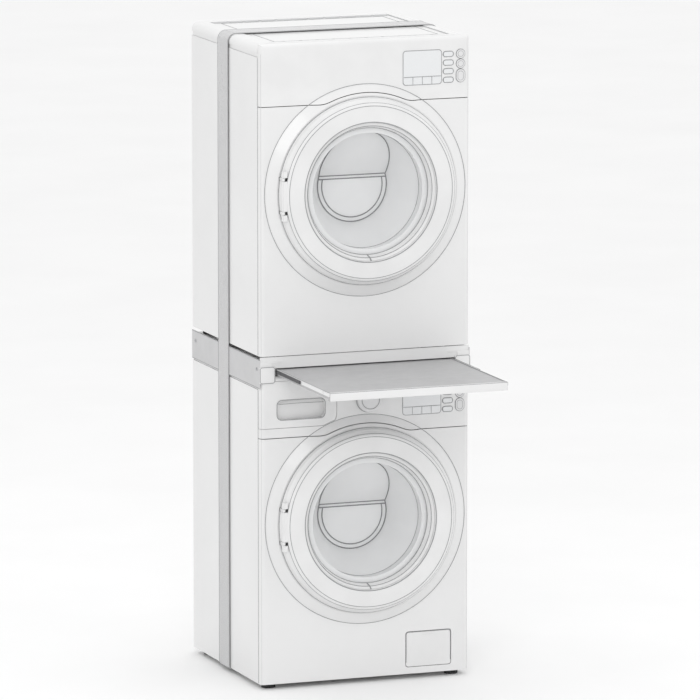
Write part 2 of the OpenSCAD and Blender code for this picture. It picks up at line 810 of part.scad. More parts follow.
// The drum's front bulkhead: a plate, the tunnel behind the door and the lint filter's slot
module dryer_bulkhead() dryer_place() color("lightgray") difference() {
    tunnel_r = mouth_r + 12;
    union() {
        turned(0, door_z) polygon([[tunnel_r, 3 - collar_h], [port_r - 1, 3 - collar_h], [port_r - 1, 54],
            [dryer_drum_r + 6, 54], [dryer_drum_r + 6, 58], [tunnel_r, 58]]);
        box(-filter_w / 2 - 4, filter_w / 2 + 4, filter_y - 4, filter_y + filter_t + 4, door_z - tunnel_r - filter_drop - 4,
            door_z - tunnel_r + 8);
    }
    rod(0, door_z, -collar_h, collar_h + 60, tunnel_r);
    box(-filter_w / 2 - fit, filter_w / 2 + fit, filter_y - fit, filter_y + filter_t + fit,
        door_z - tunnel_r - filter_drop - fit, door_z - 100);
}

// A frame with an open mesh window and a pull tab
module lint_filter() dryer_place() color("lightgray") {
    top = door_z - mouth_r - 6;
    low = door_z - mouth_r - 12 - filter_drop;
    difference() {
        box(-filter_w / 2, filter_w / 2, filter_y, filter_y + filter_t, low, low + filter_drop + 4);
        box(-filter_w / 2 + 8, filter_w / 2 - 8, filter_y + 3, filter_y + filter_t + 1, low + 6, low + filter_drop + 5);
        for (i = [0:5], j = [0:1])
            box(-filter_w / 2 + 12 + i * 28, -filter_w / 2 + 36 + i * 28, filter_y - 1, filter_y + 4,
                low + 8 + j * 26, low + 30 + j * 26);
    }
    box(-22, 22, filter_y + 2, filter_y + 8, low + filter_drop - 12, top);
}

module dryer_drum() dryer_place() color("silver") {
    t = 1.5;
    end = dryer_drum_end;
    r = dryer_drum_r;
    turned(0, door_z) polygon([[mouth_r + 16, dryer_drum_y], [r - 14, dryer_drum_y], [r, dryer_drum_y + 14], [r, end],
        [shaft_r, end], [shaft_r, end + 50], [0, end + 50], [0, end - t], [r - t, end - t],
        [r - t, dryer_drum_y + 14.6], [r - 14.6, dryer_drum_y + t], [mouth_r + 16, dryer_drum_y + t]]);
    for (a = [90, 210, 330]) lifter(a, r - t, dryer_drum_y + 20, dryer_drum_l - 40);
}

module dryer_belt() dryer_place() color("dimgray")
    belt(dryer_drum_r, motor_pulley_r, door_z, motor_z, dryer_motor_x, belt_y, 10);

module dryer_motor() dryer_place() color("gray") {
    difference() {
        motor_body(dryer_motor_x, belt_y + 20, 120);
        rod(dryer_motor_x, motor_z, belt_y, 160, 6 + run_fit);
    }
    box(dryer_motor_x - 50, dryer_motor_x + 50, belt_y + 40, belt_y + 120, foot_h + base_t, motor_z - motor_r + 10);
}

// The motor's shaft with the belt pulley in front and the blower wheel behind
module dryer_fan() dryer_place() color("silver") {
    y0 = belt_y - 4;
    wheel_y = belt_y + 146;
    wheel_r = 70;
    turned(dryer_motor_x, motor_z) polygon([[0, y0], [motor_pulley_r, y0], [motor_pulley_r, y0 + 18], [6, y0 + 18],
        [6, belt_y + 50], [0, belt_y + 50]]);
    turned(dryer_motor_x, motor_z) polygon([[0, belt_y + 114], [6, belt_y + 114], [6, wheel_y], [wheel_r, wheel_y],
        [wheel_r, wheel_y + 2], [10, wheel_y + 2], [10, wheel_y + 30], [0, wheel_y + 30]]);
    rod(dryer_motor_x, motor_z, belt_y + 49, 66, 6);
    for (a = [0:30:359]) translate([dryer_motor_x, wheel_y + 1, motor_z]) rotate([0, a, 0])
        translate([44, 0, -1]) cube([wheel_r - 45, 26, 2]);
}

module dryer_feet() dryer_place() color("dimgray") four_feet(0);

// ---- Stacking kit ----

frame_wall = 3;
screw_r = 2.5;
screw_x = half_w - 12;
// How far the bands and brackets hang below the dryer's underside
kit_drop = 8;
screw_zs = [machine_h + 6, machine_h + 20];
band_screw_ys = [22, cab_d - 30];
shelf_z = machine_h + 3;
shelf_half = half_w - bracket_w - 4;
runner_h = 9;
runner_z = shelf_z + shelf_t - runner_h;
runner_l = shelf_d + 10;
middle_x = shelf_half + fit;
outer_x = middle_x + runner_t + fit;
closed_y = 12;

module stacking_frame() place() color("gainsboro") difference() {
    top = dryer_z;
    low = machine_h;
    flange_x = half_w - cover_r - rim_w + 2;
    union() {
        both() {
            box(half_w - frame_wall, half_w, 0, cab_d, low, top);
            box(half_w - 60, half_w, 0, cab_d, top - frame_wall, top);
            box(flange_x, half_w, return_d + 4, cab_d, low, low + 2);
            box(outer_x + 8, half_w, 0, frame_wall, low + 3, top);
            for (y = [40, runner_l - 20])
                box(outer_x + frame_wall, half_w, y, y + 20, runner_z - 1, runner_z + runner_h + 1);
        }
        box(-half_w, half_w, 2, 2 + frame_wall, shelf_z + shelf_t + 3, top + foot_h - 2);
        box(-half_w, half_w, 2, 20, top - frame_wall, top);
        box(-half_w, half_w, cab_d - 30, cab_d - 10, low, top);
    }
    both() {
        for (z = screw_zs) rod(screw_x, z, -1, 4 * frame_wall, screw_r + 0.1);
        for (y = band_screw_ys) band_screw_hole(y);
    }
}

module band_screw_hole(y) translate([half_w - 20, y, dryer_z - 20]) rotate([0, 90, 0]) cylinder(h = 40, r = screw_r + 0.1);

module side_bands() place() color("gainsboro") both() difference() {
    z1 = dryer_z + foot_h - kit_drop;
    box(half_w, half_w + band_t, 0, cab_d, z1 - band_h, z1);
    for (y = band_screw_ys) band_screw_hole(y);
}

module corner_brackets() place() color("gainsboro") both() difference() {
    z1 = dryer_z - 5 - kit_drop;
    r = 8;
    w = bracket_w + band_t;
    x0 = half_w - bracket_w;
    plate(-bracket_t, bracket_t) {
        translate([x0 + r, z1 - bracket_h]) square([w - r, bracket_h]);
        translate([x0, z1 - bracket_h + r]) square([w, bracket_h - r]);
        translate([x0 + r, z1 - bracket_h + r]) circle(r);
    }
    for (z = screw_zs) rod(screw_x, z, -bracket_t + 1, bracket_t + 2, screw_r + 0.1);
}

module outer_runners() place() color("dimgray") both()
    box(outer_x, outer_x + frame_wall, closed_y, closed_y + runner_l - 10, runner_z - 1, runner_z + runner_h + 1);

module middle_runners() place() color("silver") both()
    box(middle_x, middle_x + runner_t, closed_y - shelf_travel / 2, closed_y - shelf_travel / 2 + runner_l - 10,
        runner_z, runner_z + runner_h);

module pull_out_shelf() place() color("gainsboro") {
    y0 = -shelf_travel;
    edge = 14;
    side = shelf_half - 3.2;
    box(-side, side, y0 + edge, y0 + shelf_d, shelf_z, shelf_z + shelf_t - 1);
    box(-side, side, y0, y0 + edge, shelf_z - 5, shelf_z + shelf_t);
}

module shelf_runners() place() color("whitesmoke") both() {
    y0 = -shelf_travel;
    notch_y = y0 + 34;
    difference() {
        box(shelf_half - 3.2, shelf_half, y0 + 2, y0 + shelf_d, runner_z, runner_z + runner_h);
        box(shelf_half - 2, shelf_half + 1, notch_y, notch_y + 14, runner_z + 3, runner_z + runner_h + 1);
    }
}

module pan_screw(l) {
    head_r = 4.5;
    head_h = 2;
    difference() {
        union() {
            cylinder(h = l, r = screw_r);
            translate([0, 0, -head_h]) cylinder(h = head_h, r = head_r);
        }
        for (a = [0, 90]) rotate(a) translate([-2.5, -0.5, -head_h - 1]) cube([5, 1, 2]);
    }
}

module kit_screws() place() color("gray") both() {
    for (z = screw_zs) translate([screw_x, 2 + frame_wall, z]) rotate([90, 0, 0]) pan_screw(6.5);
    for (y = band_screw_ys) translate([half_w + band_t, y, dryer_z - 20]) rotate([0, -90, 0]) pan_screw(10);
}

// ---- Lashing strap, a loop round both machines, and its ratchet on the right side ----

strap_y = cab_d * 0.52;
strap_z0 = foot_h - 0.3 - strap_t;
ratchet_l = 140;

module strap_loop(grow) {
    z1 = stack_h + fit;
    r = cover_r + band_t + grow;
    low = strap_z0 + strap_t - grow;
    w = 2 * (strap_in + grow);
    q = band_t + grow;
    translate([-w / 2, low + q]) square([w, z1 + grow - r - low - q]);
    translate([r - w / 2, low]) square([w - 2 * r, z1 + grow - low]);
    translate([q - w / 2, low]) square([w - 2 * q, 2 * q]);
    for (s = [-1, 1]) {
        translate([s * (w / 2 - r), z1 + grow - r]) circle(r);
        translate([s * (w / 2 - q), low + q]) circle(q);
    }
}

module strap() place() color("gainsboro") plate(strap_y - strap_w / 2, strap_w) difference() {
    strap_loop(strap_t);
    strap_loop(0);
}

handle_t = 6;
pivot_x = strap_out + ratchet_out - handle_t;
spool_r = 3.5;
pivot_z = ratchet_z + ratchet_l / 2 - 20;

module strap_ratchet() place() color("silver") {
    x0 = strap_out + fit;
    cheek = 3;
    w = strap_w / 2 + cheek;
    z0 = ratchet_z - ratchet_l / 2;
    difference() {
        union() {
            box(x0, x0 + 2, strap_y - w, strap_y + w, z0, z0 + ratchet_l);
            for (s = [-1, 1]) {
                y = strap_y + s * (w - cheek / 2);
                box(x0, pivot_x + handle_t - 1, y - cheek / 2, y + cheek / 2, z0, z0 + ratchet_l);
            }
        }
        rod(pivot_x, pivot_z, strap_y - w - 1, 2 * w + 2, spool_r + run_fit);
    }
}

// The lever: a spool on the pivot, two arms and a grip that folds against the frame
module ratchet_handle() place() color("dimgray") {
    w = strap_w / 2;
    z0 = ratchet_z - ratchet_l / 2 + 6;
    rod(pivot_x, pivot_z, strap_y - w - 4, 2 * w + 8, spool_r);
    for (s = [-1, 1]) {
        y = strap_y + s * (w - 4);
        box(pivot_x - 5, pivot_x + handle_t, y - 2, y + 2, z0 + 10, pivot_z);
    }
    box(pivot_x + 2, pivot_x + handle_t, strap_y - w + 2, strap_y + w - 2, z0, z0 + 46);
}

washer_cabinet();
washer_front_panel();
washer_top_cover();
washer_control_panel();
washer_display();
detergent_drawer();
drawer_housing();
program_knob();
washer_button_upper();
washer_button_lower();
washer_start_button();
washer_door_frame();
washer_door_inner_ring();
washer_door_glass();
washer_door_hinge();
door_gasket();
washer_tub();
washer_drum();
drum_pulley();
washer_belt();
washer_motor();
washer_motor_pulley();
drum_bearings();
counterweight();
tub_suspension();
service_flap();
filter_cap();
drain_pump();
inlet_valve();
washer_feet();
dryer_cabinet();
dryer_front_panel();
dryer_top_cover();
dryer_control_panel();
dryer_display();
dryer_button_upper();
dryer_button_lower();
dryer_start_button();
dryer_door_frame();
dryer_door_inner_ring();
dryer_door_glass();
dryer_door_hinge();
dryer_bulkhead();
dryer_drum();
dryer_belt();
dryer_motor();
dryer_fan();
lint_filter();
dryer_feet();
stacking_frame();
side_bands();
corner_brackets();
outer_runners();
middle_runners();
pull_out_shelf();
shelf_runners();
kit_screws();
strap();
strap_ratchet();
ratchet_handle();
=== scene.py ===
import json
import math

import bmesh
import bpy
from mathutils import Matrix, Vector


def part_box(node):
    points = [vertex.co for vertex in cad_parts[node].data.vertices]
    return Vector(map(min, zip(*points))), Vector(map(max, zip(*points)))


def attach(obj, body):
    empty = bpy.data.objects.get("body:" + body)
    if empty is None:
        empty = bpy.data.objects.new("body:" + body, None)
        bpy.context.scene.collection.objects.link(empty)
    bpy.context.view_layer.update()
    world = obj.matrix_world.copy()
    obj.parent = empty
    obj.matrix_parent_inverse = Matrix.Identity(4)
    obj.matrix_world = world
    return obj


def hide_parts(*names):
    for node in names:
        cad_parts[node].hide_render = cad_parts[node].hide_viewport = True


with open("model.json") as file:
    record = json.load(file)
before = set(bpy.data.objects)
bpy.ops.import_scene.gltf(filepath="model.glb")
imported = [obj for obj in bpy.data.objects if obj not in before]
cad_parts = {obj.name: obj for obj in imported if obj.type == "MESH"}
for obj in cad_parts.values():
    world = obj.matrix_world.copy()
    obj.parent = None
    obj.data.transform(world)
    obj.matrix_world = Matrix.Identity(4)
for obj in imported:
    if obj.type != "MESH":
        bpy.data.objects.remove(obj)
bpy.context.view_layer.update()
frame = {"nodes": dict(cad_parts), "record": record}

MM = 0.001
WHITE = (0.76, 0.76, 0.76)
KIT_GREY = (0.56, 0.56, 0.565)


# ---- Procedural materials ----

class Finish:
    """One procedural material: a Principled shader and the nodes that feed it."""

    def __init__(self, name, colour, roughness, metallic=0.0, **sockets):
        self.mat = bpy.data.materials.new(name)
        self.mat.use_nodes = True
        self.tree = self.mat.node_tree
        self.shader = self.tree.nodes["Principled BSDF"]
        self.colour, self.roughness = colour, roughness
        self.set("Base Color", (*colour, 1))
        self.set("Roughness", roughness)
        self.set("Metallic", metallic)
        for key, value in sockets.items():
            self.set(key.replace("_", " "), value)
        self.coords = self.node("ShaderNodeTexCoord").outputs["Object"]
        self.height = None

    def set(self, socket, value):
        self.shader.inputs[socket].default_value = value

    def node(self, kind, **values):
        made = self.tree.nodes.new(kind)
        for key, value in values.items():
            if hasattr(made, key):
                setattr(made, key, value)
            else:
                made.inputs[key.replace("_", " ")].default_value = value
        return made

    def link(self, a, b):
        self.tree.links.new(a, b)

    def stretched(self, scale, turn=(0, 0, 0)):
        """The object's coordinates, scaled by different amounts along X, Y and Z."""
        mapping = self.node("ShaderNodeMapping")
        mapping.inputs["Scale"].default_value = scale
        mapping.inputs["Rotation"].default_value = turn
        self.link(self.coords, mapping.inputs["Vector"])
        return mapping.outputs["Vector"]

    def noise(self, scale, detail=3.0, vector=None):
        made = self.node("ShaderNodeTexNoise", Scale=scale, Detail=detail)
        self.link(vector or self.coords, made.inputs["Vector"])
        return made.outputs["Fac"]

    def cells(self, scale, feature="F1", vector=None, output="Distance"):
        made = self.node("ShaderNodeTexVoronoi", feature=feature, Scale=scale)
        self.link(vector or self.coords, made.inputs["Vector"])
        return made.outputs[output]

    def wave(self, scale, direction="X", vector=None, distortion=0.0):
        made = self.node("ShaderNodeTexWave", bands_direction=direction, Scale=scale, Distortion=distortion)
        self.link(vector or self.coords, made.inputs["Vector"])
        return made.outputs["Fac"]

    def ranged(self, value, low, high, at=(0.0, 1.0)):
        made = self.node("ShaderNodeMapRange")
        made.inputs["From Min"].default_value, made.inputs["From Max"].default_value = at
        made.inputs["To Min"].default_value, made.inputs["To Max"].default_value = low, high
        self.link(value, made.inputs["Value"])
        return made.outputs["Result"]

    def maths(self, operation, a, b):
        made = self.node("ShaderNodeMath", operation=operation)
        for socket, value in zip(made.inputs, (a, b)):
            if isinstance(value, (int, float)):
                socket.default_value = value
            else:
                self.link(value, socket)
        return made.outputs["Value"]

    def vary_colour(self, factor, other):
        """Mixes the colour towards another one, by a factor that changes over the surface."""
        mix = self.node("ShaderNodeMix", data_type="RGBA")
        mix.inputs[6].default_value = (*self.colour, 1)
        mix.inputs[7].default_value = (*other, 1)
        self.link(factor, mix.inputs[0])
        self.link(mix.outputs[2], self.shader.inputs["Base Color"])

    def vary_roughness(self, factor, spread):
        low, high = self.roughness - spread, self.roughness + spread
        self.link(self.ranged(factor, low, high, (0.3, 0.7)), self.shader.inputs["Roughness"])

    def bump(self, height, distance, strength=1.0):
        made = self.node("ShaderNodeBump", Strength=strength, Distance=distance)
        self.link(height, made.inputs["Height"])
        if self.height is not None:
            self.link(self.height, made.inputs["Normal"])
        self.height = made.outputs["Normal"]
        self.link(self.height, self.shader.inputs["Normal"])


def shade(colour, factor):
    return tuple(c * factor for c in colour)


def enamel(name, colour):
    """Enamelled sheet steel: a hard gloss coat with faint orange peel."""
    made = Finish(name, colour, 0.34, Coat_Weight=0.35, Coat_Roughness=0.12)
    peel = made.noise(420, 2)
    cloud = made.noise(3.1, 4)
    made.vary_colour(made.ranged(cloud, 0, 1, (0.35, 0.65)), shade(colour, 0.965))
    made.vary_roughness(cloud, 0.04)
    made.bump(peel, 0.00008)
    made.bump(made.noise(60, 2), 0.00012)
    return made.mat


def moulded(name, colour, roughness=0.38, grain=1500, depth=0.00005):
    """Moulded plastic: a fine even grain and soft variation in the gloss."""
    made = Finish(name, colour, roughness, Specular_IOR_Level=0.5)
    cloud = made.noise(9, 3)
    made.vary_colour(made.ranged(cloud, 0, 1, (0.35, 0.65)), shade(colour, 0.95))
    made.vary_roughness(cloud, 0.05)
    made.bump(made.noise(grain, 2), depth)
    return made.mat


def powder_coat(name, colour):
    """Powder-coated steel: a pebbled satin skin."""
    made = Finish(name, colour, 0.5)
    pebbles = made.cells(900, "SMOOTH_F1")
    made.vary_colour(made.ranged(made.noise(14, 4), 0, 1, (0.3, 0.7)), shade(colour, 0.93))
    made.vary_roughness(made.noise(40, 3), 0.06)
    made.bump(pebbles, 0.00012)
    return made.mat


def brushed(name, colour, along=(1, 60, 1), roughness=0.3):
    """Brushed metal: fine scratches that run one way, and smudges in the polish."""
    made = Finish(name, colour, roughness, metallic=1.0)
    lines = made.noise(90, 4, made.stretched(along))
    made.vary_colour(made.ranged(lines, 0, 1, (0.35, 0.65)), shade(colour, 0.86))
    made.vary_roughness(lines, 0.08)
    made.bump(lines, 0.00004)
    return made.mat


def polished(name, colour):
    """Rolled stainless sheet: soft, with long faint rolling lines round the drum."""
    made = Finish(name, colour, 0.3, metallic=1.0)
    lines = made.noise(25, 3, made.stretched((1, 14, 1)))
    made.vary_colour(made.ranged(lines, 0, 1, (0.35, 0.65)), shade(colour, 0.93))
    made.vary_roughness(lines, 0.04)
    made.bump(made.noise(240, 2), 0.00001)
    return made.mat


def galvanised(name, colour):
    """Zinc-plated steel: large soft spangles and a fine dull grain."""
    made = Finish(name, colour, 0.42, metallic=1.0)
    spangle = made.cells(120, output="Distance")
    made.vary_colour(made.ranged(spangle, 0, 1, (0.0, 0.8)), shade(colour, 0.78))
    made.vary_roughness(made.noise(70, 4), 0.1)
    made.bump(made.noise(700, 3), 0.00004)
    return made.mat


def cast(name, colour, metallic, roughness=0.6):
    """A cast surface: coarse sand grain with darker hollows."""
    made = Finish(name, colour, roughness, metallic=metallic)
    grit = made.noise(260, 6)
    made.vary_colour(made.ranged(grit, 0, 1, (0.35, 0.7)), shade(colour, 0.7))
    made.vary_roughness(made.noise(30, 3), 0.08)
    made.bump(grit, 0.0005)
    return made.mat


def rubber(name, colour):
    """Rubber: matt, with a fine dusty mottling."""
    made = Finish(name, colour, 0.72)
    dust = made.noise(55, 5)
    made.vary_colour(made.ranged(dust, 0, 1, (0.4, 0.75)), shade(colour, 1.25))
    made.vary_roughness(dust, 0.07)
    made.bump(made.noise(900, 3), 0.0001)
    return made.mat


def glass(name, colour):
    """Pressed glass with slow ripples, drawn as a thin tinted sheet."""
    made = Finish(name, colour, 0.12, Transmission_Weight=0.18, IOR=1.3)
    ripple = made.noise(14, 2)
    made.vary_colour(made.ranged(ripple, 0, 1, (0.3, 0.7)), shade(colour, 0.97))
    made.vary_roughness(ripple, 0.02)
    made.bump(ripple, 0.0006)
    return made.mat


def window(name, colour):
    """The display's tinted window: a deep gloss over a faintly speckled layer."""
    made = Finish(name, colour, 0.16, Coat_Weight=0.8, Coat_Roughness=0.05)
    speck = made.noise(2600, 2)
    made.vary_colour(made.ranged(speck, 0, 1, (0.45, 0.75)), shade(colour, 0.9))
    made.vary_roughness(made.noise(25, 3), 0.03)
    made.bump(speck, 0.00001)
    return made.mat


def webbing(name, colour):
    """Woven polyester webbing: ribs across the strap and a twill of fine threads."""
    made = Finish(name, colour, 0.78, Sheen_Weight=0.25)
    ribs_and_shade_lines = made.wave(360, "Y")
    threads = made.wave(260, "Z", distortion=0.6)
    weave = made.maths("MULTIPLY", ribs_and_shade_lines, threads)
    made.vary_colour(made.ranged(weave, 0, 1, (0.1, 0.9)), shade(colour, 0.8))
    made.vary_roughness(made.noise(30, 3), 0.05)
    made.bump(weave, 0.0004)
    return made.mat


FINISHES = {
    "white_steel": enamel("white enamel", WHITE),
    "white_plastic": moulded("white plastic", (0.76, 0.76, 0.76)),
    "grey_plastic": moulded("grey plastic", (0.55, 0.555, 0.56), 0.5, 1100, 0.0001),
    # Also used for the dark blocks and discs painted as shade in the rear vents and the drum's holes.
    "dark_plastic": moulded("dark plastic and painted shade", (0.035, 0.035, 0.038), 0.5, 1100, 0.0001),
    "button_plastic": moulded("button plastic", (0.72, 0.72, 0.725), 0.3),
    "display": window("display window", (0.74, 0.75, 0.76)),
    "door_glass": glass("door glass", (0.90, 0.905, 0.91)),
    "stainless": brushed("stainless steel", (0.74, 0.745, 0.75)),
    "drum_steel": polished("drum steel", (0.72, 0.725, 0.73)),
    "zinc": galvanised("zinc plate", (0.62, 0.63, 0.64)),
    "cast_aluminium": cast("cast aluminium", (0.66, 0.665, 0.67), 1.0, 0.5),
    "rubber": rubber("black rubber", (0.03, 0.03, 0.031)),
    # Also the colour of the thin dark lines painted as shade in the seams, gaps, grooves and along the edges.
    "grey_rubber": rubber("grey rubber and painted shade lines", (0.28, 0.285, 0.29)),
    "concrete": cast("ballast block", (0.36, 0.35, 0.33), 0.0, 0.85),
    "kit_grey": powder_coat("grey powder coat", KIT_GREY),
    # The shelf's grey is the kit's grey made darker to offset the extra light its top takes from above:
    # painted shade.
    "shelf_grey": powder_coat("shelf grey darkened as painted shade", (0.47, 0.47, 0.475)),
    "runner_steel": brushed("runner steel", (0.10, 0.10, 0.105), (60, 1, 60), 0.4),
    "webbing": webbing("strap webbing", (0.66, 0.66, 0.665)),
}

OWN_FINISH = {"washer_drum": "drum_steel", "dryer_drum": "drum_steel"}
SLOT_OF = {part["node"]: part["material_slot"] for part in frame["record"]["subparts"]}
for node, thing in frame["nodes"].items():
    thing.data.materials.clear()
    thing.data.materials.append(FINISHES[OWN_FINISH.get(node, SLOT_OF[node])])


# ---- Shapes ----

def skin(rows, wrap_rows=False, wrap_points=True, caps=False):
    """A mesh stretched over rows of points, each with as many points as the next."""
    n, m = len(rows), len(rows[0])
    faces = []
    for i in range(n if wrap_rows else n - 1):
        for j in range(m if wrap_points else m - 1):
            a, b, k = i * m, ((i + 1) % n) * m, (j + 1) % m
            faces.append((a + j, a + k, b + k, b + j))
    if caps:
        faces += [tuple(range(m)), tuple(range((n - 1) * m, n * m))]
    mesh = bpy.data.meshes.new("shape")
    mesh.from_pydata([tuple(p) for row in rows for p in row], [], faces)
    return mesh


def tube(path, radius, closed=False, sides=8):
    """A round bar along a path. Its radius is in mm."""
    rows, across, count = [], None, len(path)
    for i, point in enumerate(path):
        ahead = path[(i + 1) % count] if closed or i + 1 < count else point
        behind = path[i - 1] if closed or i else point
        along = (ahead - behind).normalized()
        across = along.orthogonal() if across is None else across
        across = (across - along * across.dot(along)).normalized()
        other = along.cross(across)
        turns = [2 * math.pi * k / sides for k in range(sides)]
        rows.append([point + (across * math.cos(t) + other * math.sin(t)) * radius * MM for t in turns])
    return skin(rows, wrap_rows=closed, caps=not closed)


def lathe(centre, profile, axis="Y", segments=144, waves=0, depth=0.0):
    """A closed outline of (radius, distance along the axis) in mm, turned about the axis.
    waves and depth flute it, as on a grip."""
    rows = []
    for i in range(segments):
        t = 2 * math.pi * i / segments
        flute = depth * math.cos(waves * t)
        row = []
        for r, d in profile:
            u, v = (r + flute) * math.cos(t) * MM, (r + flute) * math.sin(t) * MM
            row.append(centre + (Vector((u, d * MM, v)) if axis == "Y" else Vector((u, v, d * MM))))
        rows.append(row)
    return skin(rows, wrap_rows=True)


def block(lo, hi, bevel):
    """A box with rounded edges, between two corners."""
    bm = bmesh.new()
    bmesh.ops.create_cube(bm, size=1)
    for vert in bm.verts:
        vert.co = Vector([(a + b) / 2 + c * (b - a) for a, b, c in zip(lo, hi, vert.co)])
    bmesh.ops.bevel(bm, geom=bm.edges[:], offset=bevel * MM, segments=3, profile=0.5, affect="EDGES")
    mesh = bpy.data.meshes.new("block")
    bm.to_mesh(mesh)
    bm.free()
    return mesh


def piece(name, meshes, body, finish, material=None):
    """One object made of all the meshes. It rides on the body."""
    bm = bmesh.new()
    for mesh in meshes if isinstance(meshes, list) else [meshes]:
        bm.from_mesh(mesh)
        bpy.data.meshes.remove(mesh)
    bmesh.ops.recalc_face_normals(bm, faces=bm.faces[:])
    made = bpy.data.meshes.new(name)
    bm.to_mesh(made)
    bm.free()
    made.materials.append(material or FINISHES[finish])
    made.polygons.foreach_set("use_smooth", [True] * len(made.polygons))
    made.set_sharp_from_angle(angle=math.radians(40))
    thing = bpy.data.objects.new(name, made)
    bpy.context.scene.collection.objects.link(thing)
    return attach(thing, body)


def arc(at, r, y, start=0.0, end=360.0, steps=180):
    """Points round the door's axis, from one angle to another, in degrees from the right."""
    turns = [math.radians(start + (end - start) * i / steps) for i in range(steps + 1)]
    if end - start == 360.0:
        turns.pop()
    return [at(r * math.cos(t), y, DOOR_Z + r * math.sin(t)) for t in turns]


def rounded_path(at, x, y, z, w, h, r):
    """A rounded rectangle's outline in the plane of the front."""
    points = []
    for quarter, (sx, sz) in enumerate([(1, 1), (-1, 1), (-1, -1), (1, -1)]):
        for i in range(9):
            t = math.radians(90 * quarter + 90 * i / 8)
            points.append(at(x + sx * (w / 2 - r) + r * math.cos(t), y,
                             z + sz * (h / 2 - r) + r * math.sin(t)))
    return points


# ---- Pieces that both machines have ----

DOOR_Z, CAB_W, CAB_D, CAB_H = 448, 595, 540, 850
SHADE_LINE_Y = -0.2            # the painted shade lines' centres lie this far in front of the panels
COLLAR_LINE_R = 285      # just outside the part's door collar
LENS_X, LENS_TOP, LENS_PITCH = 236, 48, 23
FOOT_IN_X, FOOT_IN_Y = 35, 40
DISPLAY = (162, 769, 108, 90)
BUTTONS = ("button_upper", "button_lower", "start_button")


class Machine:
    """One machine's own millimetres: X from its middle, Y from its front and Z from its floor line."""

    def __init__(self, tag):
        lo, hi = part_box(tag + "_cabinet")
        self.tag = tag
        self.origin = Vector(((lo[0] + hi[0]) / 2, hi[1] - CAB_D * MM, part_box(tag + "_feet")[0][2]))

    def at(self, x, y, z):
        return self.origin + Vector((x, y, z)) * MM

    def middle(self, node):
        """(x, y of its front, z, width, height) of a node, in the machine's millimetres."""
        lo, hi = ((Vector(p) - self.origin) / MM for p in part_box(node))
        return (lo.x + hi.x) / 2, lo.y, (lo.z + hi.z) / 2, hi.x - lo.x, hi.z - lo.z


def dress_door(m):
    """Painted shade lines in the door frame's grooves and steps, dark lines painted along the glass bowl's
    edges where the glass bends the light, and painted shade rings at the bowl's mouth.
    """
    at, body = m.at, m.tag + "_door"
    shade_lines = [(251, -18, 1.3), (238.5, -40.5, 1.1), (231, -44.9, 0.9), (187.5, -44.6, 1.3)]
    door_shade_tubes = [tube(arc(at, r, y), t, closed=True) for r, y, t in shade_lines]
    # Dark grey rings in the door frame's grooves and steps: painted shade.
    piece(m.tag + "_door_shade_lines", door_shade_tubes, body, "grey_rubber")
    mouth_y, end_y, mouth_r, end_r = 11, 101, 156, 99
    slope, top = 1.394, 153.1

    def cone(y):
        return mouth_r - (mouth_r - end_r) * (y - mouth_y) / (end_y - mouth_y)

    def facet(y):
        return top - slope * (y - mouth_y)

    ribs_and_shade_lines = []
    for r, z in ((end_r - 1, facet(end_y)), (86, 19)):
        turn = math.degrees(math.asin(z / r))
        ribs_and_shade_lines.append(tube(arc(at, r, end_y - 0.6, -180 - turn, turn), 1.5))
    for y, z in ((end_y - 0.6, facet(end_y)), (end_y - 0.6, 19)):
        half = math.sqrt((end_r - 1) ** 2 - z ** 2)
        ribs_and_shade_lines.append(tube([at(-half, y, DOOR_Z + z), at(0, y, DOOR_Z + z), at(half, y, DOOR_Z + z)], 1.5))
    for s in (-1, 1):
        path = []
        for i in range(25):
            y = mouth_y + (end_y - mouth_y) * i / 24
            across = math.sqrt(cone(y) ** 2 - facet(y) ** 2) - 0.8
            path.append(at(s * across, y - 0.6, DOOR_Z + facet(y) - 0.6))
        ribs_and_shade_lines.append(tube(path, 1.3))
    # Dark lines along the bowl's edges and facet: painted shade where the glass bends the light.
    piece(m.tag + "_bowl_edge_shade", ribs_and_shade_lines, body, "door_glass", BOWL_EDGE_SHADE)
    mouth_shade_circles = ((176.5, -35.5, 0.8), (170.6, -20, 1.2), (156.5, 10, 1.5))
    mouth_shade_rings = [tube(arc(at, r, y), t, closed=True) for r, y, t in mouth_shade_circles]
    notch = [at(2, -40, DOOR_Z - 184), at(0, -35.4, DOOR_Z - 176.6), at(-3, -22, DOOR_Z - 170.6)]
    mouth_shade_rings.append(tube(notch, 1.6))
    # Dark rings at the bowl's mouth and the notch line: painted shade at the ring's steps.
    piece(m.tag + "_bowl_mouth_shade", mouth_shade_rings, body, "grey_rubber")


